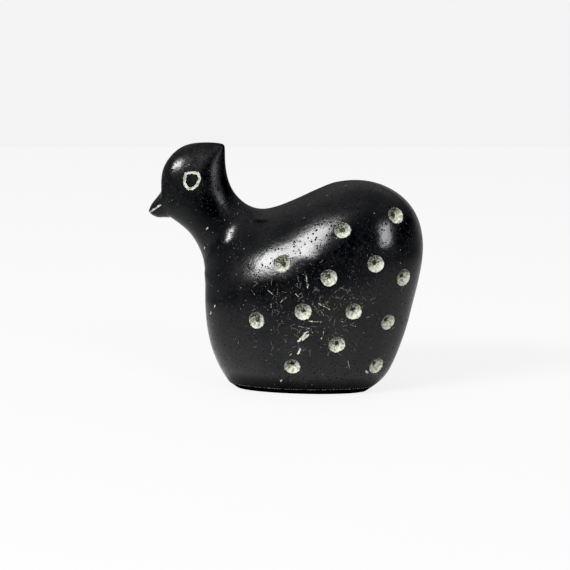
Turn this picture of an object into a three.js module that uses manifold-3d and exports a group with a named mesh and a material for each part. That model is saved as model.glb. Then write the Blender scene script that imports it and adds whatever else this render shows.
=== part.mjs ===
// A soapstone bird carving: a guinea fowl cut from one block, standing on its own flat foot.
// Millimetres, +Z up. The bird looks along -X, and the origin is the middle of the flat foot.
import * as THREE from "three";
import { mergeVertices } from "three/addons/utils/BufferGeometryUtils.js";
import Module from "manifold-3d";

// Overall sizes
const length = 77; // bill tip to rump
const height = 68.5; // foot to crown
const thickness = 35; // across the flanks

// The cut-back edge around the foot
const footBevelHeight = 1.6;
const footBevelInset = 2.3;

// The cups scraped into the flanks, each at its share of the length and of the height above the bevel
const cupWidth = 4.7;
const cupDepth = 1.1;
const nearCups = [
  [36.5, 73], [18.5, 67.5], [-2.5, 53.5], [30.5, 54], [14.5, 48.5], [39.5, 47.5], [-11.5, 30],
  [5.5, 34.5], [23, 34.5], [34, 29], [17, 20.5], [1, 11], [29.5, 10],
];
const farCups = [
  [35, 71], [17.5, 70], [1, 57], [29, 56.5], [13, 51.5], [39, 46], [-13, 38],
  [3.5, 33], [22, 36.5], [33.5, 27], [14.5, 19.5], [-2, 13], [28, 10],
];

// The knife-cut ring around each eye, and the line of the bill
const eyePlace = [-38, 84.7];
const eyeWidth = 4.4;
const eyeHeight = 4.9;
const eyeStrokes = 8;
const eyeGrooveWidth = 0.9;
const eyeGrooveDepth = 0.5;
const mouthPlace = [-52.6, 72.4];
const mouthSlope = 39;
const mouthLength = 5;
const mouthWidth = 0.6;
const mouthDepth = 0.4;

// How finely the skin is cut into flat faces
const ribsPerStation = 3;
const pointsAroundRib = 36;
const sidesOfCup = 12;
const bandsOfCup = 12;

// The form is a row of ribs that swings from the foot, over the rump and up the neck to the bill.
// Each rib runs straight from the breast side to the back side. x is in percent of the length, z in
// percent of the height above the bevel and half, its half width, in percent of the thickness. An end
// of a rib is round at 0.5, blunter below that and keener above it, and the back end is cut square
// where kept is under 1.
const ribStations = [
  { front: [-25.9, 0], back: [27.4, 0], half: 29.5, ends: [0.45, 0.5] },
  { front: [-29.3, 6], back: [32.4, 4.6], half: 39.5, ends: [0.45, 0.57] },
  { front: [-32.6, 15.5], back: [37.9, 19.8], half: 48.7, ends: [0.47, 0.6] },
  { front: [-33.9, 25], back: [41.7, 37.6], half: 50.1, ends: [0.43, 0.48] },
  { front: [-34.2, 34], back: [45.7, 57.2], half: 50.2, ends: [0.36, 0.4] },
  { front: [-34.2, 39.7], back: [42.1, 75], half: 45.3, ends: [0.4, 0.42] },
  { front: [-34.1, 43.4], back: [31.1, 83.9], half: 38.3, ends: [0.29, 0.29] },
  { front: [-34.6, 47], back: [19, 86.6], half: 31.2, ends: [0.33, 0.43] },
  { front: [-35.1, 50], back: [7.3, 83], half: 26.3, ends: [0.57, 1.1] },
  { front: [-36.2, 53.8], back: [-4, 76.3], half: 20.8, ends: [0.7, 1.5] },
  { front: [-37.7, 57.6], back: [-11.7, 71.1], half: 20.7, ends: [0.6, 1] },
  { front: [-40.6, 62.5], back: [-20.4, 73.6], half: 20, ends: [0.56, 0.48] },
  { front: [-44.8, 66.3], back: [-26.6, 80.5], half: 18, ends: [0.5, 0.37] },
  { front: [-47, 68.1], back: [-28.3, 90.3], half: 17, ends: [0.45, 0.7], kept: 0.95 },
  { front: [-47.5, 68.4], back: [-27.3, 98.8], half: 16.5, ends: [0.45, 1], kept: 0.95 },
  { front: [-47.7, 68.4], back: [-27.6, 99.5], half: 16.5, ends: [0.45, 1], kept: 0.95 },
  { front: [-47.9, 68.2], back: [-36, 100.2], half: 16, ends: [0.45, 0.75] },
  { front: [-48.1, 68.2], back: [-44.1, 98.7], half: 14.7, ends: [0.43, 0.47] },
  { front: [-48.4, 68.2], back: [-50.1, 90.4], half: 12, ends: [0.43, 0.43] },
  { front: [-49, 68.2], back: [-50.4, 84.9], half: 10.8, ends: [0.46, 0.43] },
  { front: [-50.3, 68.3], back: [-49.7, 80.9], half: 10, ends: [0.5, 0.43] },
  { front: [-52.2, 68], back: [-52.5, 76.7], half: 7.2, ends: [0.5, 0.45] },
  { front: [-54.4, 69], back: [-54.7, 73.9], half: 4.3, ends: [0.5, 0.5] },
  { front: [-55.6, 70.2], back: [-55.6, 71.2], half: 2, ends: [0.5, 0.5] },
];

const wasm = await Module();
wasm.setup();

const xAt = (percent) => (percent / 100) * length;
const zAt = (percent) => footBevelHeight + (percent / 100) * (height - footBevelHeight);

// A uniform cubic B-spline through rows of numbers, which starts on the first row and ends on the last.
function smoothRow(rows, share) {
  const spans = rows.length - 1;
  const span = Math.min(Math.floor(share * spans), spans - 1);
  const w = share * spans - span;
  const before = span > 0 ? rows[span - 1] : rows[0].map((value, i) => 2 * value - rows[1][i]);
  const last = rows[spans];
  const after = span < spans - 1 ? rows[span + 2] : last.map((value, i) => 2 * value - rows[spans - 1][i]);
  return before.map(
    (value, i) =>
      (value * (1 - w) ** 3 +
        rows[span][i] * (3 * w ** 3 - 6 * w ** 2 + 4) +
        rows[span + 1][i] * (-3 * w ** 3 + 3 * w ** 2 + 3 * w + 1) +
        after[i] * w ** 3) /
      6,
  );
}

// One rib's closed outline, as points in space.
function ribOutline([frontX, frontZ, backX, backZ, half, frontEnd, backEnd, kept]) {
  const swell = (share) => share ** frontEnd * (1 - share) ** backEnd;
  const widest = swell(frontEnd / (frontEnd + backEnd));
  const points = [];
  for (let i = 0; i < pointsAroundRib; i++) {
    const angle = (2 * Math.PI * i) / pointsAroundRib;
    const share = Math.sin(angle / 2) ** 2;
    const along = Math.min(share / kept, 1);
    points.push(
      new THREE.Vector3(
        THREE.MathUtils.lerp(frontX, backX, along),
        (-Math.sign(Math.sin(angle)) * half * swell(share)) / widest,
        THREE.MathUtils.lerp(frontZ, backZ, along),
      ),
    );
  }
  return points;
}

// Closed skin through a row of outlines, with a fan over the first and the last.
function loft(outlines) {
  const count = outlines[0].length;
  const middle = (outline) =>
    outline.reduce((sum, point) => sum.add(point), new THREE.Vector3()).divideScalar(count);
  const points = [...outlines.flat(), middle(outlines[0]), middle(outlines.at(-1))];
  const index = [];
  for (let i = 0; i < count; i++) {
    const next = (i + 1) % count;
    index.push(next, i, points.length - 2);
    for (let ring = 0; ring < outlines.length - 1; ring++) {
      const here = ring * count;
      const above = here + count;
      index.push(here + i, here + next, above + next, here + i, above + next, above + i);
    }
    const top = (outlines.length - 1) * count;
    index.push(top + i, top + next, points.length - 1);
  }
  return new THREE.BufferGeometry().setFromPoints(points).setIndex(index);
}

function birdSkin() {
  const rows = ribStations.map(({ front, back, half, ends, kept = 1 }) => [
    xAt(front[0]),
    zAt(front[1]),
    xAt(back[0]),
    zAt(back[1]),
    (half / 100) * thickness,
    ...ends,
    kept,
  ]);
  const ribs = (rows.length - 1) * ribsPerStation;
  const outlines = [];
  for (let i = 0; i <= ribs; i++) outlines.push(ribOutline(smoothRow(rows, i / ribs)));
  const [frontX, , backX, , half, ...shape] = rows[0];
  const foot = [frontX + footBevelInset, 0, backX - footBevelInset, 0, half - footBevelInset];
  outlines.unshift(ribOutline([...foot, ...shape]));
  const skin = loft(outlines);
  skin.computeVertexNormals();
  return skin;
}

// The place on the skin at a share of the length and height, on the side of -Y or +Y, as a matrix
// whose Y axis stands out of the skin and whose Z axis points up along it.
function placeOnSkin(skin, [xShare, zShare], side) {
  const start = new THREE.Vector3(xAt(xShare), side * thickness, zAt(zShare));
  const inward = new THREE.Vector3(0, -side, 0);
  const [found] = new THREE.Raycaster(start, inward).intersectObject(new THREE.Mesh(skin));
  const up = new THREE.Vector3(0, 0, 1).projectOnPlane(found.normal).normalize();
  const across = found.normal.clone().cross(up);
  return new THREE.Matrix4().makeBasis(across, found.normal, up).setPosition(found.point);
}

// A ball whose cap reaches one cup's depth into the skin and is one cup's width across there.
function cupCutter() {
  const radius = (cupWidth ** 2 / 4 + cupDepth ** 2) / (2 * cupDepth);
  return new THREE.SphereGeometry(radius, sidesOfCup, bandsOfCup).translate(0, radius - cupDepth, 0);
}

// A ring of straight strokes with a V section.
function eyeCutter() {
  const middle = eyeWidth / 2;
  const half = eyeGrooveWidth / 2;
  const section = [
    new THREE.Vector2(middle + half, 0),
    new THREE.Vector2(middle, eyeGrooveDepth),
    new THREE.Vector2(middle - half, 0),
    new THREE.Vector2(middle, -eyeGrooveDepth),
    new THREE.Vector2(middle + half, 0),
  ];
  return new THREE.LatheGeometry(section, eyeStrokes).scale(1, 1, eyeHeight / eyeWidth);
}

// A bar of V section, sloped as the line of the bill is on the given side.
function mouthCutter(side) {
  return new THREE.CylinderGeometry(1, 1, mouthLength, 4)
    .rotateZ(Math.PI / 2)
    .scale(1, mouthDepth, mouthWidth / 2)
    .rotateY(side * THREE.MathUtils.degToRad(mouthSlope));
}

function carvedBird() {
  const skin = birdSkin();
  let bird = toSolid(skin);
  for (const [side, cups] of [[-1, nearCups], [1, farCups]]) {
    const cuts = cups.map((cup) => cupCutter().applyMatrix4(placeOnSkin(skin, cup, side)));
    cuts.push(eyeCutter().applyMatrix4(placeOnSkin(skin, eyePlace, side)));
    cuts.push(mouthCutter(side).applyMatrix4(placeOnSkin(skin, mouthPlace, side)));
    for (const cut of cuts) bird = bird.subtract(toSolid(cut));
  }
  return toGeometry(bird);
}

function toSolid(geometry) {
  const bare = geometry.clone();
  bare.deleteAttribute("normal");
  bare.deleteAttribute("uv");
  const merged = mergeVertices(bare, 1e-4);
  return new wasm.Manifold(
    new wasm.Mesh({
      numProp: 3,
      vertProperties: new Float32Array(merged.attributes.position.array),
      triVerts: new Uint32Array(merged.index.array),
    }),
  );
}

function toGeometry(solid) {
  const { vertProperties, triVerts } = solid.getMesh();
  const made = new THREE.BufferGeometry()
    .setAttribute("position", new THREE.BufferAttribute(vertProperties, 3))
    .setIndex(new THREE.BufferAttribute(triVerts, 1))
    .toNonIndexed();
  made.computeVertexNormals();
  return made;
}

const stone = new THREE.MeshStandardMaterial({ color: "#1a1a1a", roughness: 0.25, metalness: 0 });

const bird = new THREE.Mesh(carvedBird(), stone);
bird.name = "bird_carving";

const carving = new THREE.Group();
carving.add(bird);

export default carving;
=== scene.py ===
import math

import bmesh
import bpy
from mathutils import Matrix, Vector, noise
from mathutils.bvhtree import BVHTree
from mathutils.kdtree import KDTree


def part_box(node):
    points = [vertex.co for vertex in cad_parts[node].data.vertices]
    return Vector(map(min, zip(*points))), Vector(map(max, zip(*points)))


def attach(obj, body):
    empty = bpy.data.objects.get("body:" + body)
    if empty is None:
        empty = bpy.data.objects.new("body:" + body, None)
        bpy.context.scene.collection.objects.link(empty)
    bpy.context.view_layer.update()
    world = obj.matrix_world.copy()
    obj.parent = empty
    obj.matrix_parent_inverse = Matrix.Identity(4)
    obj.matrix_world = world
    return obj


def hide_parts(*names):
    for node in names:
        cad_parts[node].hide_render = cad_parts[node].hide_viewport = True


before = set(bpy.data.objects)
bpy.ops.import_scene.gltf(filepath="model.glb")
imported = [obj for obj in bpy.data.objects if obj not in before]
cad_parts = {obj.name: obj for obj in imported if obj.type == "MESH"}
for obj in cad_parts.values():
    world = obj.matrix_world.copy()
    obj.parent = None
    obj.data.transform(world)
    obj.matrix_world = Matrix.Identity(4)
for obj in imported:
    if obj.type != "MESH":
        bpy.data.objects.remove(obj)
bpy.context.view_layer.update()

mm = 0.001

# Overall size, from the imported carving
low, high = (Vector(corner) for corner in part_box("bird_carving"))
length = high.x - low.x
thickness = high.y - low.y
height = high.z - low.z

# The skin: ribs that swing from the foot, over the rump and up the neck to the bill
skin = {
    "ribsPerStation": 9,
    "pointsAround": 128,
    "footBevelHeight": 1.6 * mm,
    "footBevelInset": 2.3 * mm,
    "wornEdge": 0.3 * mm,  # how far the edge above the foot is rubbed round
    "wornEdgeSegments": 4,
    # Sanded patches: left, right, bottom, top and how far out they start, in percent, and the passes
    "sanded": [((-50, -12, 67, 120, -20), 5), ((-36, 9, 46, 87, 3), 160), ((-34, 12, 56, 100, -20), 190)],
    "sandedEdge": 10,  # how far in from its edge a patch is worked in full, in percent
    "sandingPull": 0.5,  # how far a pass takes each point towards the middle of its neighbours
    "handWaves": [(9 * mm, 0.14 * mm), (4 * mm, 0.035 * mm)],  # length and height of the waves from filing
    "handWavesStart": Vector((7, 3, 5)),
    "calmAboveFoot": 3 * mm,  # the waves grow from nothing over this height
    # front x and z, back x and z, half width, front end, back end, kept share before it is cut square.
    # x is in percent of the length, z of the height above the foot's bevel, half width of the thickness.
    # An end is round at 0.5, blunter below that and keener above it.
    "stations": [
        (-25.9, 0, 27.4, 0, 29.5, 0.45, 0.5, 1),
        (-29.3, 6, 32.4, 4.6, 39.5, 0.45, 0.57, 1),
        (-32.6, 15.5, 37.9, 19.8, 48.7, 0.47, 0.6, 1),
        (-33.9, 25, 41.7, 37.6, 50.1, 0.43, 0.48, 1),
        (-34.2, 34, 45.7, 57.2, 50.2, 0.36, 0.4, 1),
        (-34.2, 39.7, 42.1, 75, 45.3, 0.4, 0.42, 1),
        (-34.1, 43.4, 31.1, 83.9, 38.3, 0.29, 0.29, 1),
        (-34.6, 47, 19, 86.6, 31.2, 0.33, 0.43, 1),
        (-35.1, 50, 7.3, 83, 26.3, 0.57, 1.1, 1),
        (-36.2, 53.8, -4, 76.3, 20.8, 0.7, 1.5, 1),
        (-37.7, 57.6, -11.7, 69.8, 20.7, 0.6, 1, 1),
        (-40.6, 62.5, -20.6, 72.4, 20, 0.56, 0.48, 1),
        (-44.8, 66.3, -26.6, 80.5, 18, 0.5, 0.37, 1),
        (-47, 68.1, -27.5, 90.3, 17, 0.45, 0.7, 0.95),
        (-47.5, 68.4, -27.3, 98.8, 16.5, 0.45, 1, 0.95),
        (-47.7, 68.4, -27.6, 99.5, 16.5, 0.45, 1, 0.95),
        (-47.9, 68.2, -36, 100.2, 16, 0.45, 0.75, 1),
        (-48.1, 68.2, -44.1, 98.7, 14.7, 0.43, 0.47, 1),
        (-48.4, 68.2, -50.1, 90.4, 12, 0.43, 0.43, 1),
        (-49, 68.2, -50.4, 84.9, 10.8, 0.46, 0.43, 1),
        (-50.3, 68.3, -49.7, 80.9, 10, 0.5, 0.43, 1),
        (-52.2, 68, -52.5, 76.7, 7.2, 0.5, 0.45, 1),
        (-54.4, 69, -54.7, 73.9, 4.3, 0.5, 0.5, 1),
        (-55.6, 70.2, -55.6, 71.2, 2, 0.5, 0.5, 1),
    ],
}


def xAt(percent):
    return percent / 100 * length


def zAt(percent):
    return skin["footBevelHeight"] + percent / 100 * (height - skin["footBevelHeight"])


# How far a value has come from a start over a span: 0 before it, 1 beyond it
def rise(value, start, span):
    return min(max((value - start) / span, 0), 1)


# A point as shares in percent of the length, the thickness and the height
def sharesOf(point):
    z = (point.z - skin["footBevelHeight"]) / (height - skin["footBevelHeight"])
    return point.x / length * 100, abs(point.y) / thickness * 100, z * 100


# A uniform cubic B-spline through rows of numbers, which starts on the first row and ends on the last
def smoothRow(rows, share):
    spans = len(rows) - 1
    span = min(int(share * spans), spans - 1)
    w = share * spans - span
    before = rows[span - 1] if span > 0 else [2 * a - b for a, b in zip(rows[0], rows[1])]
    after = rows[span + 2] if span < spans - 1 else [2 * a - b for a, b in zip(rows[-1], rows[-2])]
    weights = ((1 - w) ** 3, 3 * w**3 - 6 * w**2 + 4, -3 * w**3 + 3 * w**2 + 3 * w + 1, w**3)
    near = zip(before, rows[span], rows[span + 1], after)
    return [sum(weight * value for weight, value in zip(weights, values)) / 6 for values in near]


# The closed outline of one rib, round at the breast end
def ribOutline(row):
    frontX, frontZ, backX, backZ, half, frontEnd, backEnd, kept = row
    front = Vector((frontX, 0, frontZ))
    back = Vector((backX, 0, backZ))
    peak = frontEnd / (frontEnd + backEnd)
    widest = peak**frontEnd * (1 - peak) ** backEnd
    points = []
    for i in range(skin["pointsAround"]):
        angle = 2 * math.pi * i / skin["pointsAround"]
        share = math.sin(angle / 2) ** 2
        swell = share**frontEnd * (1 - share) ** backEnd / widest
        point = front.lerp(back, min(share / kept, 1))
        point.y = -math.copysign(half * swell, math.sin(angle))
        points.append(point)
    return points


# Draws a new ring out of an open ring of vertices and moves it onto the places given
def drawRing(bm, ring, places):
    edges = [bm.edges.get((a, b)) for a, b in zip(ring, ring[1:] + ring[:1])]
    drawn = bmesh.ops.extrude_edge_only(bm, edges=edges)["geom"]
    fresh = {item for item in drawn if isinstance(item, bmesh.types.BMVert)}
    following = []
    for vert in ring:
        following.append(next(e.other_vert(vert) for e in vert.link_edges if e.other_vert(vert) in fresh))
    for vert, place in zip(following, places):
        vert.co = place
    return following


def makeSkin():
    rows = []
    for frontX, frontZ, backX, backZ, half, *shape in skin["stations"]:
        rows.append((xAt(frontX), zAt(frontZ), xAt(backX), zAt(backZ), half / 100 * thickness, *shape))
    bm = bmesh.new()
    ring = bmesh.ops.create_circle(bm, cap_ends=True, segments=skin["pointsAround"], radius=1)["verts"]
    frontX, _, backX, _, half, *shape = rows[0]
    inset = skin["footBevelInset"]
    foot = ribOutline((frontX + inset, 0, backX - inset, 0, half - inset, *shape))
    for vert, place in zip(ring, foot):
        vert.co = place
    ribs = (len(rows) - 1) * skin["ribsPerStation"]
    edgeRing = None
    for i in range(ribs + 1):
        ring = drawRing(bm, ring, ribOutline(smoothRow(rows, i / ribs)))
        edgeRing = edgeRing or ring
    tip = sum((vert.co for vert in ring), Vector()) / len(ring)
    bmesh.ops.pointmerge(bm, verts=ring, merge_co=tip)
    edges = [bm.edges.get((a, b)) for a, b in zip(edgeRing, edgeRing[1:] + edgeRing[:1])]
    worn = {"offset": skin["wornEdge"], "segments": skin["wornEdgeSegments"]}
    bmesh.ops.bevel(bm, geom=edges, affect="EDGES", profile=0.5, material=-1, **worn)
    bmesh.ops.recalc_face_normals(bm, faces=bm.faces)
    return bm


# Sanding rounds the crest and blends the neck into the shoulders, less so towards the edge of each patch
def sandSkin(bm):
    axes = {"use_axis_x": True, "use_axis_y": True, "use_axis_z": True}
    for (left, right, bottom, top, out), passes in skin["sanded"]:
        worked = []
        for vert in bm.verts:
            x, y, z = sharesOf(vert.co)
            depth = min(x - left, right - x, z - bottom, top - z, y - out) / skin["sandedEdge"]
            if depth > 0:
                worked.append((vert, depth))
        for i in range(passes):
            patch = [vert for vert, depth in worked if depth > i / passes]
            bmesh.ops.smooth_vert(bm, verts=patch, factor=skin["sandingPull"], **axes)


# Filing and sanding by hand leaves the skin gently uneven
def waveSkin(bm):
    bm.normal_update()
    moves = []
    for vert in bm.verts:
        lift = 0
        for span, size in skin["handWaves"]:
            lift += size * noise.noise(vert.co / span + skin["handWavesStart"])
        calm = rise(vert.co.z, skin["footBevelHeight"], skin["calmAboveFoot"])
        moves.append(vert.normal * lift * calm)
    for vert, move in zip(bm.verts, moves):
        vert.co += move


# Each cut's edge is feathered, for the stone's grain to break up, and the skin is drawn finer around it
cut = {
    "feather": 0.5 * mm,
    "cupReach": 0.62,  # as a share of a cup's width
    "cupPieces": 5,
    "strokeReach": 0.75 * mm,
    "strokePieces": 4,
    "sharpAngle": math.radians(38),  # keener edges than this are shaded sharp
}


# Where a line across the bird meets its skin: the point, and a matrix whose Z axis stands out of the skin
def placeOnSkin(tree, xShare, zShare, side, dx=0.0, dz=0.0):
    start = Vector((xAt(xShare) + dx, side * thickness, zAt(zShare) + dz))
    point, normal, _, _ = tree.ray_cast(start, Vector((0, -side, 0)))
    up = (Vector((0, 0, 1)) - normal * normal.z).normalized()
    across = up.cross(normal)
    return Matrix((across, up, normal)).transposed().to_4x4(), point


# Puts the edges and faces in one order, as they are drawn in another order each time
def sortParts(bm):
    bm.verts.index_update()
    count = len(bm.verts)
    for parts in (bm.edges, bm.faces):
        numbers = [[vert.index for vert in part.verts] for part in parts]
        keys = {part: min(row) * count * 4 + sum(row) for part, row in zip(parts, numbers)}
        parts.sort(key=keys.get)


# Cuts the faces around some spots into smaller ones
def cutFiner(bm, spots, reach, pieces):
    sortParts(bm)
    tree = KDTree(len(spots))
    for i, spot in enumerate(spots):
        tree.insert(spot, i)
    tree.balance()
    fours = [face for face in bm.faces if len(face.verts) == 4]
    faces = [face for face in fours if tree.find(face.calc_center_median())[2] < reach]
    edges = list(dict.fromkeys(edge for face in faces for edge in face.edges))
    bmesh.ops.subdivide_edges(
        bm, edges=edges, cuts=pieces, use_grid_fill=True, smooth=1.0, smooth_falloff="LINEAR"
    )


def vertsNear(bm, spots, reach):
    tree = KDTree(len(bm.verts))
    for vert in bm.verts:
        tree.insert(vert.co, vert.index)
    tree.balance()
    found = {index for spot in spots for _, index, _ in tree.find_range(spot, reach)}
    return [bm.verts[index] for index in sorted(found)]


# Marks how bare the stone is at a vertex, from how far inside a cut's edge it lies
def bareAt(vert, layers, away, share=1.0):
    vert[layers["raw"]] = max(vert[layers["raw"]], min(max(away / cut["feather"] + 0.5, 0), 1) * share)


# The cups, scraped with a small round gouge: places as x and z shares in percent
cups = {
    "width": 4.5 * mm,
    "depth": 1.15 * mm,
    "widthSpread": 0.07,
    "outOfRound": 0.08,
    "wanderScale": 1.3,
    "chatter": 0.06 * mm,
    "chatterCount": 17,
    "chatterDrift": 4,
    "chatterScale": 3,
    "chatterInside": 3,  # how much stronger the gouge chatters half way down
    "pitRadius": 1.15 * mm,
    "pitDepth": 0.35 * mm,
    "pitShift": 0.45 * mm,
    "pitLean": (-0.2, 0.6),  # the way most pits lie off the middle
    "pitDirt": 1.4,
    "shade": 0.42,  # painted shade: each cup is darkened inside by this much, and more towards its upper left, where its rim shades it
    "shadeLean": 0.42,
    "shadeWay": (-0.45, 0.9),
    "streakScale": 5,
    "seedStep": 1.7,
    "scuff": 0.8,  # how scratched the dye is at the rim, and how far that reaches
    "scuffReach": 1.4 * mm,
    "near": [
        (36.5, 73), (18.5, 67.5), (-2.5, 53.5), (30.5, 54), (14.5, 48.5), (39.5, 47.5), (-11.5, 30),
        (5.5, 34.5), (23, 34.5), (34, 29), (17, 20.5), (1, 11), (29.5, 10),
    ],
    "far": [
        (35, 71), (17.5, 70), (1, 57), (29, 56.5), (13, 51.5), (39, 46), (-13, 38),
        (3.5, 33), (22, 36.5), (33.5, 27), (14.5, 19.5), (-2, 13), (28, 10),
    ],
}


def scrapeCup(bm, layers, turn, point, seed):
    size = cups["width"] / 2 * (1 + cups["widthSpread"] * noise.noise(Vector((seed, 0, 0))))
    depth = cups["depth"]
    ball = (size**2 + depth**2) / (2 * depth)
    into = turn.inverted()
    spread = noise.noise_vector(Vector((0, seed, 0)))
    pitPlace = (spread.xy + Vector(cups["pitLean"])) * cups["pitShift"]
    for vert in vertsNear(bm, [point], cups["width"]):
        local = into @ (vert.co - point)
        radius = max(math.hypot(local.x, local.y), 1e-9)
        towards = Vector((local.x / radius, local.y / radius, 0))
        wander = noise.noise(towards * cups["wanderScale"] + Vector((0, 0, seed)))
        angle = math.atan2(towards.y, towards.x)
        drift = cups["chatterDrift"] * noise.noise(towards * cups["chatterScale"] + Vector((seed, 0, 0)))
        ridges = math.sin(angle * cups["chatterCount"] + drift)
        rim = size * (1 + cups["outOfRound"] * wander) + cups["chatter"] * ridges
        away = rim - radius
        bareAt(vert, layers, away)
        scuff = min(max(cups["scuff"] + away / cups["scuffReach"], 0), cups["scuff"])
        vert[layers["wear"]] = max(vert[layers["wear"]], scuff)
        if away <= 0:
            continue
        share = radius / rim
        fall = math.sqrt(ball**2 - (share * size) ** 2) - (ball - depth)
        fall += cups["chatter"] * ridges * share * (1 - share) * cups["chatterInside"]
        pit = max(1 - (Vector(local.xy) - pitPlace).length / cups["pitRadius"], 0)
        fall += cups["pitDepth"] * pit
        streak = max(noise.noise(towards * cups["streakScale"] + Vector((0, seed, 0))), 0) * (1 - share)
        # Painted shade: the whole cup is darker, and more so towards its upper left, where the rim shades
        # it; the pit holds dirt
        shaded = cups["shade"] + cups["shadeLean"] * local.xy.dot(Vector(cups["shadeWay"])) / rim
        dirtAndShade = min(max(cups["pitDirt"] * pit, shaded) + streak, 1)
        vert[layers["grimeAndShade"]] = max(vert[layers["grimeAndShade"]], dirtAndShade)
        vert.co -= turn.to_3x3() @ Vector((0, 0, fall))


# Knife strokes: the ring of each eye is a loop of short straight cuts, as x and z from its middle
eye = {
    "place": (-38, 84.7),
    "corners": [
        (-1.85, 1.85), (-0.1, 2.3), (1.6, 2.0), (2.1, 0.5), (1.5, -1.05),
        (0.2, -2.2), (-1.15, -2.15), (-2.0, -0.85), (-2.1, 0.55),
    ],
    "width": 0.7 * mm,
    "depth": 0.4 * mm,
}
mouth = {"ends": ((-55.2, 70.2), (-50.2, 74.0)), "steps": 6, "width": 0.42 * mm, "depth": 0.3 * mm}

# Chips and scores on the flank that shows: ends as x and z shares, width, and how bare the stone is
nicks = [
    ((3.7, 22.1), (6.2, 25.0), 0.5 * mm, 1),
    ((5.2, 22.6), (7.3, 25.0), 0.4 * mm, 1),
    ((5.8, 25.5), (7.1, 26.2), 0.35 * mm, 1),
    ((3.4, 16.7), (4.3, 18.8), 0.42 * mm, 1),
    ((0.5, 16.0), (0.7, 16.2), 0.4 * mm, 1),
    ((-3.6, 4.1), (-3.4, 4.6), 0.45 * mm, 1),
    ((26.1, 8.1), (26.5, 7.4), 0.5 * mm, 1),
    ((-28.1, 34.2), (-28.3, 33.7), 0.35 * mm, 1),
    ((-30.0, 31.1), (-30.3, 30.1), 0.35 * mm, 1),
    ((-32.0, 65.5), (-32.4, 65.0), 0.35 * mm, 1),
    ((-33.7, 57.0), (-33.8, 56.2), 0.35 * mm, 1),
    ((5.7, 52.8), (6.3, 49.3), 0.17 * mm, 0.9),
    ((6.5, 48.8), (7.1, 44.2), 0.22 * mm, 0.92),
    ((-2.7, 38.0), (-0.2, 40.5), 0.17 * mm, 0.9),
    ((2.8, 41.6), (5.8, 38.7), 0.17 * mm, 0.9),
    ((-6.2, 38.0), (-6.0, 35.8), 0.17 * mm, 0.9),
    ((10.9, 38.0), (14.9, 35.5), 0.17 * mm, 0.9),
    ((9.3, 36.3), (12.4, 34.1), 0.17 * mm, 0.9),
    ((18.6, 30.6), (23.5, 28.1), 0.17 * mm, 0.9),
    ((4.0, 28.3), (8.4, 27.5), 0.17 * mm, 0.9),
    ((7.5, 30.6), (12.4, 30.2), 0.17 * mm, 0.9),
    ((13.0, 27.8), (11.8, 22.8), 0.17 * mm, 0.9),
    ((-7.3, 42.6), (-5.5, 41.2), 0.17 * mm, 0.9),
    ((20.4, 13.3), (20.8, 9.8), 0.17 * mm, 0.9),
    ((-2.4, 31.0), (-1.6, 29.3), 0.17 * mm, 0.9),
]
knife = {
    "nickDepth": 0.14 * mm,
    "ragged": 0.5,  # how much a stroke's width wanders
    "raggedSpan": 0.5 * mm,
    "burr": 0.02 * mm,
    "steps": 8,
    "seedStep": 2.3,
}


# A knife stroke along a line of points that lie on the skin
def cutStroke(bm, layers, line, width, depth, share, seed):
    half = width / 2
    spots = []
    for a, b in zip(line, line[1:]):
        count = max(int((b - a).length / half), 1)
        spots += [a.lerp(b, i / count) for i in range(count + 1)]
    for vert in vertsNear(bm, spots, width + cut["feather"]):
        nearest = None
        for a, b in zip(line, line[1:]):
            along = (b - a).normalized()
            reach = min(max((vert.co - a).dot(along), 0), (b - a).length)
            distance = (vert.co - a - along * reach).length
            nearest = distance if nearest is None else min(nearest, distance)
        rough = 1 + knife["ragged"] * noise.noise(vert.co / knife["raggedSpan"] + Vector((seed, 0, 0)))
        away = half * rough - nearest
        bareAt(vert, layers, away + knife["burr"], share)
        if away > 0:
            vert.co -= vert.normal * depth * min(away / half, 1)


# Where handling shows
rubbed = {
    "middle": (7, 35),  # of the scratched patch on the flank that shows, as x and z shares
    "reach": (21 * mm, 17 * mm),
    "strength": 1.5,
    "arris": 0.52,
    "arrisReach": 0.45 * mm,
    "sawnAndShadedBelow": 0.1 * mm,  # from this far under its edge the foot is bare of wax and mirrors nothing, as painted shade under the foot
    "napeDull": 0.5,  # how far the wax misses the hollow of the nape
    "napeX": ((-34, 5), (-8, -6)),  # where that begins and ends, and over what span, in percent
    "napeZ": (72, 10),
}


# Handling rubs the dye from the edge above the foot and scratches one patch; the foot stays as sawn, dull
# and mirrorless, as painted shade under it
def rubSkin(bm, layers):
    middleX, middleZ = xAt(rubbed["middle"][0]), zAt(rubbed["middle"][1])
    reachX, reachZ = rubbed["reach"]
    for vert in bm.verts:
        arris = 1 - abs(vert.co.z - skin["footBevelHeight"]) / rubbed["arrisReach"]
        vert[layers["raw"]] = max(vert[layers["raw"]], arris * rubbed["arris"])
        # Painted shade: under its edge the foot is made dull and mirrors nothing, so that it shows black
        if vert.co.z < skin["footBevelHeight"] - rubbed["sawnAndShadedBelow"]:
            vert[layers["dull"]] = 1
        else:
            x, _, z = sharesOf(vert.co)
            begun, ended = (rise(x, *edge) for edge in rubbed["napeX"])
            vert[layers["dull"]] = rubbed["napeDull"] * begun * ended * rise(z, *rubbed["napeZ"])
        if vert.co.y < 0:
            away = math.hypot((vert.co.x - middleX) / reachX, (vert.co.z - middleZ) / reachZ)
            wear = min(rubbed["strength"] * (1 - away), 1)
            vert[layers["wear"]] = max(vert[layers["wear"]], wear)


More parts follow.
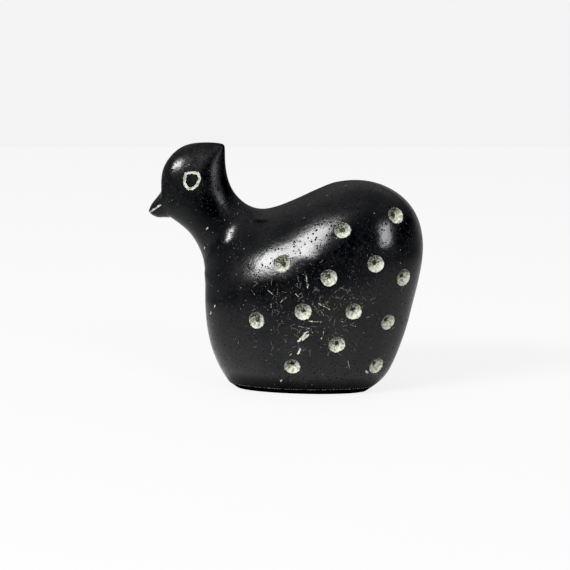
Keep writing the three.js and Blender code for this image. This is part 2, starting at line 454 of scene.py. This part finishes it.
def makeBird():
    bm = makeSkin()
    sandSkin(bm)
    waveSkin(bm)
    print("skin drawn:", len(bm.faces), "faces")
    tree = BVHTree.FromBMesh(bm)
    cupPlaces = []
    strokes = []
    for side, shares in ((-1, cups["near"]), (1, cups["far"])):
        cupPlaces += [placeOnSkin(tree, x, z, side) for x, z in shares]
        corners = eye["corners"] + eye["corners"][:1]
        ring = [placeOnSkin(tree, *eye["place"], side, x * mm, z * mm)[1] for x, z in corners]
        strokes.append((ring, eye["width"], eye["depth"], 1))
        (x1, z1), (x2, z2) = mouth["ends"]
        steps = [i / mouth["steps"] for i in range(mouth["steps"] + 1)]
        line = [placeOnSkin(tree, x1 + (x2 - x1) * step, z1 + (z2 - z1) * step, side)[1] for step in steps]
        strokes.append((line, mouth["width"], mouth["depth"], 1))
    for start, end, width, bareness in nicks:
        ends = [placeOnSkin(tree, *share, -1)[1] for share in (start, end)]
        strokes.append((ends, width, knife["nickDepth"] * bareness, bareness))
    spots = [point for _, point in cupPlaces]
    cutFiner(bm, spots, cups["width"] * cut["cupReach"], cut["cupPieces"])
    dots = []
    for line, *_ in strokes:
        for a, b in zip(line, line[1:]):
            dots += [a.lerp(b, i / knife["steps"]) for i in range(knife["steps"] + 1)]
    cutFiner(bm, dots, cut["strokeReach"], cut["strokePieces"])
    bm.verts.ensure_lookup_table()
    bm.normal_update()
    bm.verts.index_update()
    names = {"raw": "rawStone", "wear": "wear", "grimeAndShade": "grimeAndShade", "dull": "unwaxedAndShaded"}
    layers = {key: bm.verts.layers.float.new(name) for key, name in names.items()}
    bm.verts.ensure_lookup_table()
    for seed, (turn, point) in enumerate(cupPlaces):
        scrapeCup(bm, layers, turn, point, seed * cups["seedStep"])
    for seed, (line, width, depth, bareness) in enumerate(strokes):
        cutStroke(bm, layers, line, width, depth, bareness, seed * knife["seedStep"])
    rubSkin(bm, layers)
    print("cups and strokes cut:", len(bm.faces), "faces")
    mesh = bpy.data.meshes.new("birdCarving")
    for face in bm.faces:
        face.smooth = True
    bm.to_mesh(mesh)
    bm.free()
    mesh.set_sharp_from_angle(angle=cut["sharpAngle"])
    bird = bpy.data.objects.new("birdCarving", mesh)
    bpy.context.collection.objects.link(bird)
    return bird


def linear(hexColour):
    channels = [int(hexColour[i : i + 2], 16) / 255 for i in (1, 3, 5)]
    return [c / 12.92 if c <= 0.04045 else ((c + 0.055) / 1.055) ** 2.4 for c in channels] + [1]


# Adds a node with its settings. An input is a plain value, a socket, or a node whose first output is meant.
def addNode(tree, kind, inputs=None, **settings):
    made = tree.nodes.new(kind)
    for name, value in settings.items():
        setattr(made, name, value)
    for socket, value in (inputs or {}).items():
        if isinstance(value, bpy.types.Node):
            value = value.outputs[0]
        if isinstance(value, bpy.types.NodeSocket):
            tree.links.new(value, made.inputs[socket])
        else:
            made.inputs[socket].default_value = value
    return made


# Colours as sRGB hex values, and lengths in millimetres
stone = {
    "dye": "#0b0c0e",
    "dyeThin": "#18181a",
    "thinDye": (0.2, 0.36),  # where the pattern begins and is full, as in the other pairs of pattern values
    "speck": "#b3aa92",
    "scratch": "#a8a698",
    "pore": "#2b2b2c",  # painted reflection: as light as the dim room that the waxed skin mirrors, since the pores mirror next to nothing; a little dust lies in each
    "raw": "#d8dccd",
    "rawShade": "#8e9282",
    # darkens the cups: dirt in the pits and streaks, and painted shade
    "grimeAndShade": "#2b281f",
    "waxRoughness": (0.16, 0.23),  # of the best rubbed wax and of the dullest
    "duller": (0.35, 0.65),
    "speckRoughness": 0.5,
    "scratchRoughness": 0.55,
    "poreRoughness": 0.6,
    "unwaxedAndShadedRoughness": 0.9,
    # the mirror's tint in the pores and under the foot, as painted shade, and half of it on the dull nape
    "dullAndShadedMirror": "#080808",
    "rawRoughness": 0.85,
    "ior": 1.45,  # wax
    # Cell, half length, half width and shift of each set of scratches. Real ones are some 0.03 mm wide and
    # too fine to show, so they are drawn three or four times as wide.
    "scratches": [(2.6, 1.3, 0.07, 0), (1.4, 0.7, 0.05, 11.3), (1.9, 1.0, 0.06, 23.9)],
    "scratchShare": 0.65,
    "scratchStrength": 0.34,
    "scratchMiddle": 0.5,
    "wornPatches": (0.4, 0.62),
    "bend": 1.2,
    # Cell, and the radius of the biggest. Dust is really some 0.1 mm, drawn coarser so that it shows.
    "specks": (0.8, 0.17),
    "speckShare": (0.55, 0.12),  # on worn stone, and everywhere
    "speckStrength": 0.6,
    "pores": (0.8, 0.32),
    "porePatches": (0.6, 0.45),
    "smallestDot": 0.4,
    "dotEdge": 0.3,
    "cloud": 9,  # how unevenly the stone takes the dye
    "patch": 3.5,
    "mottle": 1.6,  # flakes of talc
    "grain": 0.8,  # really 0.1 to 0.5 mm, drawn coarser so that it shows
    "chip": 0.4,
    "noiseDetail": 3,
    "chipping": 0.7,
    "chippedEdge": (0.8, 0.9),
    "shadeGrain": (0.46, 0.66),
    "dirtAndShadeGrain": (0.12, 0.4),
    # Heights of the mottle, the grain, a pore, a scratch and the scraped stone
    "relief": (0.035, 0.006, -0.12, -0.03, 0.1),
}


# A range's inputs: the pattern, and the values at which it begins and is full
def rangeOf(pattern, name):
    begin, full = stone[name]
    return {"Value": pattern, "From Min": begin, "From Max": full}


# Scratches, one to a cell and each turned its own way, more of them where the skin is worn
def drawScratches(tree, flat, wear, cell, reach, width, shift):
    moved = addNode(tree, "ShaderNodeVectorMath", {0: flat, 1: (shift, shift, 0)}, operation="ADD")
    cells = {"Vector": moved, "Scale": 1 / cell}
    cells = addNode(tree, "ShaderNodeTexVoronoi", cells, voronoi_dimensions="2D")
    away = {0: moved, 1: cells.outputs["Position"]}
    away = addNode(tree, "ShaderNodeVectorMath", away, operation="SUBTRACT")
    lot = addNode(tree, "ShaderNodeSeparateColor", {"Color": cells.outputs["Color"]})
    angle = addNode(tree, "ShaderNodeMath", {0: lot.outputs["Red"], 1: math.pi}, operation="MULTIPLY")
    turned = {"Vector": away, "Angle": angle}
    turned = addNode(tree, "ShaderNodeVectorRotate", turned, rotation_type="Z_AXIS")
    squeezed = {0: turned, 1: (1 / reach, 1 / width, 0)}
    squeezed = addNode(tree, "ShaderNodeVectorMath", squeezed, operation="MULTIPLY")
    far = addNode(tree, "ShaderNodeVectorMath", {0: squeezed}, operation="LENGTH").outputs["Value"]
    inside = {"Value": far, "From Min": 1, "From Max": stone["scratchMiddle"]}
    inside = addNode(tree, "ShaderNodeMapRange", inside)
    there = addNode(tree, "ShaderNodeMath", {0: lot.outputs["Blue"], 1: wear}, operation="LESS_THAN")
    return addNode(tree, "ShaderNodeMath", {0: inside, 1: there}, operation="MULTIPLY")


# Round dots of mixed sizes in the given share of the cells
def drawDots(tree, place, share, cell, size):
    cells = addNode(tree, "ShaderNodeTexVoronoi", {"Vector": place, "Scale": 1 / cell})
    lot = addNode(tree, "ShaderNodeSeparateColor", {"Color": cells.outputs["Color"]})
    biggest = size / cell
    reach = {"Value": lot.outputs["Green"], "To Min": stone["smallestDot"] * biggest, "To Max": biggest}
    reach = addNode(tree, "ShaderNodeMapRange", reach)
    inside = addNode(tree, "ShaderNodeMath", {0: reach, 1: cells.outputs["Distance"]}, operation="SUBTRACT")
    soft = addNode(tree, "ShaderNodeMapRange", {"Value": inside, "From Max": stone["dotEdge"] * biggest})
    there = addNode(tree, "ShaderNodeMath", {0: lot.outputs["Red"], 1: share}, operation="LESS_THAN")
    return addNode(tree, "ShaderNodeMath", {0: soft, 1: there}, operation="MULTIPLY")


# Soapstone dyed black and rubbed with wax: a soft deep gloss, and pale dull stone where a cut goes through
def makeStone():
    material = bpy.data.materials.new("blackDyedWaxedSoapstone")
    material.use_nodes = True
    tree = material.node_tree
    tree.nodes.clear()
    place = addNode(tree, "ShaderNodeTexCoord").outputs["Object"]
    inMm = addNode(tree, "ShaderNodeVectorMath", {0: place, 1: (1 / mm,) * 3}, operation="MULTIPLY")
    detail = stone["noiseDetail"]
    cloud, patch, mottle, grain, chip = [
        addNode(tree, "ShaderNodeTexNoise", {"Vector": inMm, "Scale": 1 / stone[name], "Detail": detail})
        for name in ("cloud", "patch", "mottle", "grain", "chip")
    ]
    bareness, wear, grimeAndShade, unwaxedAndShaded = [
        addNode(tree, "ShaderNodeAttribute", attribute_name=name).outputs["Fac"]
        for name in ("rawStone", "wear", "grimeAndShade", "unwaxedAndShaded")
    ]

    # The flank seen square on, a little bent so that no scratch is quite straight
    bend = {0: patch.outputs["Color"], 1: (stone["bend"],) * 3}
    bend = addNode(tree, "ShaderNodeVectorMath", bend, operation="MULTIPLY")
    bent = addNode(tree, "ShaderNodeVectorMath", {0: inMm, 1: bend}, operation="ADD")
    split = addNode(tree, "ShaderNodeSeparateXYZ", {0: bent})
    flat = addNode(tree, "ShaderNodeCombineXYZ", {"X": split.outputs["X"], "Y": split.outputs["Z"]})

    patchy = addNode(tree, "ShaderNodeMapRange", rangeOf(patch, "wornPatches"))
    worn = addNode(tree, "ShaderNodeMath", {0: wear, 1: patchy}, operation="MULTIPLY")
    scratched = addNode(tree, "ShaderNodeMath", {0: worn, 1: stone["scratchShare"]}, operation="MULTIPLY")
    lines = 0.0
    for size in stone["scratches"]:
        drawn = drawScratches(tree, flat, scratched, *size)
        lines = addNode(tree, "ShaderNodeMath", {0: drawn, 1: lines}, operation="MAXIMUM")
    onWorn, everywhere = stone["speckShare"]
    speckShare = {0: worn, 1: onWorn, 2: everywhere}
    speckShare = addNode(tree, "ShaderNodeMath", speckShare, operation="MULTIPLY_ADD")
    specks = drawDots(tree, inMm, speckShare, *stone["specks"])
    poreShare = addNode(tree, "ShaderNodeMapRange", rangeOf(patch, "porePatches"))
    pores = drawDots(tree, bent, poreShare, *stone["pores"])

    thin = addNode(tree, "ShaderNodeMath", {0: cloud, 1: grain}, operation="MULTIPLY")
    thin = addNode(tree, "ShaderNodeMapRange", rangeOf(thin, "thinDye"))
    dyed = linear(stone["dye"])
    # The pores' colour is a painted reflection
    marks = (
        ("dyeThin", thin, 1),
        ("pore", pores, 1),
        ("speck", specks, stone["speckStrength"]),
        ("scratch", lines, stone["scratchStrength"]),
    )
    for name, share, most in marks:
        share = addNode(tree, "ShaderNodeMath", {0: share, 1: most}, operation="MULTIPLY")
        layer = {0: share, 6: dyed, 7: linear(stone[name])}
        dyed = addNode(tree, "ShaderNodeMix", layer, data_type="RGBA").outputs[2]

    # The edge of the bare stone is chipped, and its cuts are streaked, dirty and darkened with painted shade
    chipped = {0: chip, 1: stone["chipping"], 2: bareness}
    chipped = addNode(tree, "ShaderNodeMath", chipped, operation="MULTIPLY_ADD")
    raw = addNode(tree, "ShaderNodeMapRange", rangeOf(chipped, "chippedEdge"))
    shade = addNode(tree, "ShaderNodeMapRange", rangeOf(grain, "shadeGrain"))
    dirtAndShade = addNode(tree, "ShaderNodeMath", {0: grimeAndShade, 1: chip}, operation="MULTIPLY")
    dirtAndShade = addNode(tree, "ShaderNodeMapRange", rangeOf(dirtAndShade, "dirtAndShadeGrain"))
    bare = linear(stone["raw"])
    for name, share in (("rawShade", shade), ("grimeAndShade", dirtAndShade)):
        layer = {0: share, 6: bare, 7: linear(stone[name])}
        bare = addNode(tree, "ShaderNodeMix", layer, data_type="RGBA").outputs[2]
    colour = addNode(tree, "ShaderNodeMix", {0: raw, 6: dyed, 7: bare}, data_type="RGBA").outputs[2]

    smooth, dull = stone["waxRoughness"]
    wax = rangeOf(cloud, "duller") | {"To Min": smooth, "To Max": dull}
    rough = addNode(tree, "ShaderNodeMapRange", wax)
    marks = ((specks, "speck"), (lines, "scratch"), (pores, "pore"), (unwaxedAndShaded, "unwaxedAndShaded"), (raw, "raw"))
    for share, name in marks:
        share = {0: share, 1: stone[name + "Roughness"]}
        share = addNode(tree, "ShaderNodeMath", share, operation="MULTIPLY")
        rough = addNode(tree, "ShaderNodeMath", {0: rough, 1: share}, operation="MAXIMUM")

    scraped = addNode(tree, "ShaderNodeMath", {0: chip, 1: raw}, operation="MULTIPLY")
    relief = 0.0
    for pattern, tall in zip((mottle, grain, pores, lines, scraped), stone["relief"]):
        relief = addNode(tree, "ShaderNodeMath", {0: pattern, 1: tall, 2: relief}, operation="MULTIPLY_ADD")
    bump = addNode(tree, "ShaderNodeBump", {"Height": relief, "Distance": mm})
    # Painted shade: the pores and the foot's underside mirror next to nothing, and the dull nape mirrors
    # half as much
    hollow = addNode(tree, "ShaderNodeMath", {0: pores, 1: unwaxedAndShaded}, operation="MAXIMUM")
    mirror = {0: hollow, 6: (1, 1, 1, 1), 7: linear(stone["dullAndShadedMirror"])}
    mirror = addNode(tree, "ShaderNodeMix", mirror, data_type="RGBA").outputs[2]
    finish = {"Base Color": colour, "Roughness": rough, "Normal": bump, "IOR": stone["ior"]}
    finish |= {"Specular Tint": mirror}
    addNode(tree, "ShaderNodeOutputMaterial", {"Surface": addNode(tree, "ShaderNodeBsdfPrincipled", finish)})
    return material


# The photograph's frame: 570 by 570 pixels, with the middle of the foot at one of them
view = {
    "azimuth": math.radians(11),
    "elevation": math.radians(9),
    "distance": 700 * mm,
    "frame": 570,
    "footPixel": (299.5, 388),
    "pixel": 0.2794 * mm,  # one pixel's size at the bird
}


def setCamera():
    back = Vector(
        (
            math.sin(view["azimuth"]) * math.cos(view["elevation"]),
            -math.cos(view["azimuth"]) * math.cos(view["elevation"]),
            math.sin(view["elevation"]),
        )
    )
    right = Vector((math.cos(view["azimuth"]), math.sin(view["azimuth"]), 0))
    up = back.cross(right)
    middle = view["frame"] / 2
    target = -right * (view["footPixel"][0] - middle) * view["pixel"]
    target += up * (view["footPixel"][1] - middle) * view["pixel"]
    camera = bpy.data.objects.new("camera", bpy.data.cameras.new("camera"))
    bpy.context.collection.objects.link(camera)
    camera.location = target + back * view["distance"]
    camera.rotation_euler = back.to_track_quat("Z", "Y").to_euler()
    camera.data.sensor_fit = "HORIZONTAL"
    camera.data.angle = 2 * math.atan(middle * view["pixel"] / view["distance"])
    bpy.context.scene.camera = camera


# Studio: softboxes as azimuth and elevation from the bird, roll, distance, width, height and brightness
lights = {
    "key": (-33, 33, 13, 1500 * mm, 740 * mm, 260 * mm, 31),
    "side": (43, 19, 0, 1500 * mm, 340 * mm, 440 * mm, 14),
}
studio = {
    "aim": Vector((0, 0, 40 * mm)),
    "floorReach": 660 * mm,
    "floorGlow": 0.82,
    "paper": "#6c6c6c",
    "paperRoughness": 0.8,
    "paperIor": 1.2,
    "footShade": 5 * mm,  # how near the foot the paper gets dark, as the stone mirrors it
    "footShadeDepth": 2,
    "litPaper": (20 * mm, 240 * mm),  # where the paper's light fades, as the stone mirrors it
    "litPaperEnd": 0.25,
    "backdrop": 0.9,
    "horizonGlow": 0.36,
    "horizon": (0, 0.3),  # where each glow begins and ends: level is 0, and straight up, or right, is 1
    "roomGlow": 0.14,
    "ceilingGlow": 0.5,
    "ceiling": (0.35, 0.8),
    "leftGlow": 0.45,
    "left": (-0.4, -1),
    "blackLevel": 0.012,  # the photograph's deep blacks
}


def direction(azimuth, elevation):
    a, e = math.radians(azimuth), math.radians(elevation)
    return Vector((math.sin(a) * math.cos(e), -math.cos(a) * math.cos(e), math.sin(e)))


def setLights():
    for name, (azimuth, elevation, roll, distance, width, tall, brightness) in lights.items():
        lamp = bpy.data.lights.new(name, "AREA")
        lamp.shape = "RECTANGLE"
        lamp.size = width
        lamp.size_y = tall
        lamp.energy = brightness * math.pi * width * tall
        holder = bpy.data.objects.new(name, lamp)
        bpy.context.collection.objects.link(holder)
        away = direction(azimuth, elevation)
        holder.location = studio["aim"] + away * distance
        facing = away.to_track_quat("Z", "Y").to_matrix()
        holder.rotation_euler = (facing @ Matrix.Rotation(math.radians(roll), 3, "Z")).to_euler()
    settings = bpy.context.scene.view_settings
    settings.view_transform = "Standard"
    settings.use_curve_mapping = True
    settings.curve_mapping.black_level = (studio["blackLevel"],) * 3
    settings.curve_mapping.update()


# A pale backdrop, and a dim room for the stone to mirror, brighter along the horizon and overhead
def setRoom():
    world = bpy.data.worlds.new("room")
    world.use_nodes = True
    bpy.context.scene.world = world
    tree = world.node_tree
    tree.nodes.clear()
    place = addNode(tree, "ShaderNodeTexCoord").outputs["Generated"]
    ways = addNode(tree, "ShaderNodeSeparateXYZ", {0: place})
    upward = ways.outputs["Z"]
    dim = studio["roomGlow"]
    glows = (
        (upward, "horizon", studio["horizonGlow"], dim),
        (upward, "ceiling", dim, studio["ceilingGlow"]),
        (ways.outputs["X"], "left", 0, studio["leftGlow"]),
    )
    mirrored = dim
    for along, name, first, last in glows:
        begin, full = studio[name]
        glow = {"Value": along, "From Min": begin, "From Max": full, "To Min": first, "To Max": last}
        glow = addNode(tree, "ShaderNodeMapRange", glow)
        mirrored = addNode(tree, "ShaderNodeMath", {0: glow, 1: mirrored}, operation="MAXIMUM")
    seen = addNode(tree, "ShaderNodeLightPath").outputs["Is Camera Ray"]
    strength = {"Value": seen, "To Min": mirrored, "To Max": studio["backdrop"]}
    strength = addNode(tree, "ShaderNodeMapRange", strength, clamp=False)
    glow = addNode(tree, "ShaderNodeBackground", {"Color": (1, 1, 1, 1), "Strength": strength})
    addNode(tree, "ShaderNodeOutputWorld", {"Surface": glow})


# White paper lit from all round; the stone mirrors it darker far off and under the foot
def makeFloor():
    bm = bmesh.new()
    bmesh.ops.create_grid(bm, x_segments=1, y_segments=1, size=studio["floorReach"])
    bmesh.ops.rotate(bm, verts=bm.verts, matrix=Matrix.Rotation(view["azimuth"], 3, "Z"))
    mesh = bpy.data.meshes.new("floor")
    bm.to_mesh(mesh)
    bm.free()
    floor = bpy.data.objects.new("floor", mesh)
    bpy.context.collection.objects.link(floor)
    material = bpy.data.materials.new("whitePaper")
    material.use_nodes = True
    tree = material.node_tree
    tree.nodes.clear()
    place = addNode(tree, "ShaderNodeTexCoord").outputs["Object"]
    far = addNode(tree, "ShaderNodeVectorMath", {0: place}, operation="LENGTH").outputs["Value"]
    near, end = studio["litPaper"]
    fade = {"Value": far, "From Min": near, "From Max": end, "To Min": 1, "To Max": studio["litPaperEnd"]}
    fade = addNode(tree, "ShaderNodeMapRange", fade)
    uncovered = addNode(tree, "ShaderNodeAmbientOcclusion", {"Distance": studio["footShade"]}).outputs["AO"]
    uncovered = {0: uncovered, 1: studio["footShadeDepth"]}
    uncovered = addNode(tree, "ShaderNodeMath", uncovered, operation="POWER")
    fade = addNode(tree, "ShaderNodeMath", {0: fade, 1: uncovered}, operation="MULTIPLY")
    seen = addNode(tree, "ShaderNodeLightPath").outputs["Is Camera Ray"]
    glow = addNode(tree, "ShaderNodeMapRange", {"Value": seen, "To Min": fade, "To Max": 1}, clamp=False)
    glow = addNode(tree, "ShaderNodeMath", {0: glow, 1: studio["floorGlow"]}, operation="MULTIPLY")
    paper = {"Base Color": linear(studio["paper"]), "Roughness": studio["paperRoughness"]}
    paper |= {"IOR": studio["paperIor"], "Emission Color": (1, 1, 1, 1), "Emission Strength": glow}
    addNode(tree, "ShaderNodeOutputMaterial", {"Surface": addNode(tree, "ShaderNodeBsdfPrincipled", paper)})
    mesh.materials.append(material)


bird = makeBird()
bird.data.materials.append(makeStone())
print("stone dyed and waxed")
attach(bird, "root")
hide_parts("bird_carving")
setCamera()
setLights()
setRoom()
makeFloor()
print("studio set")
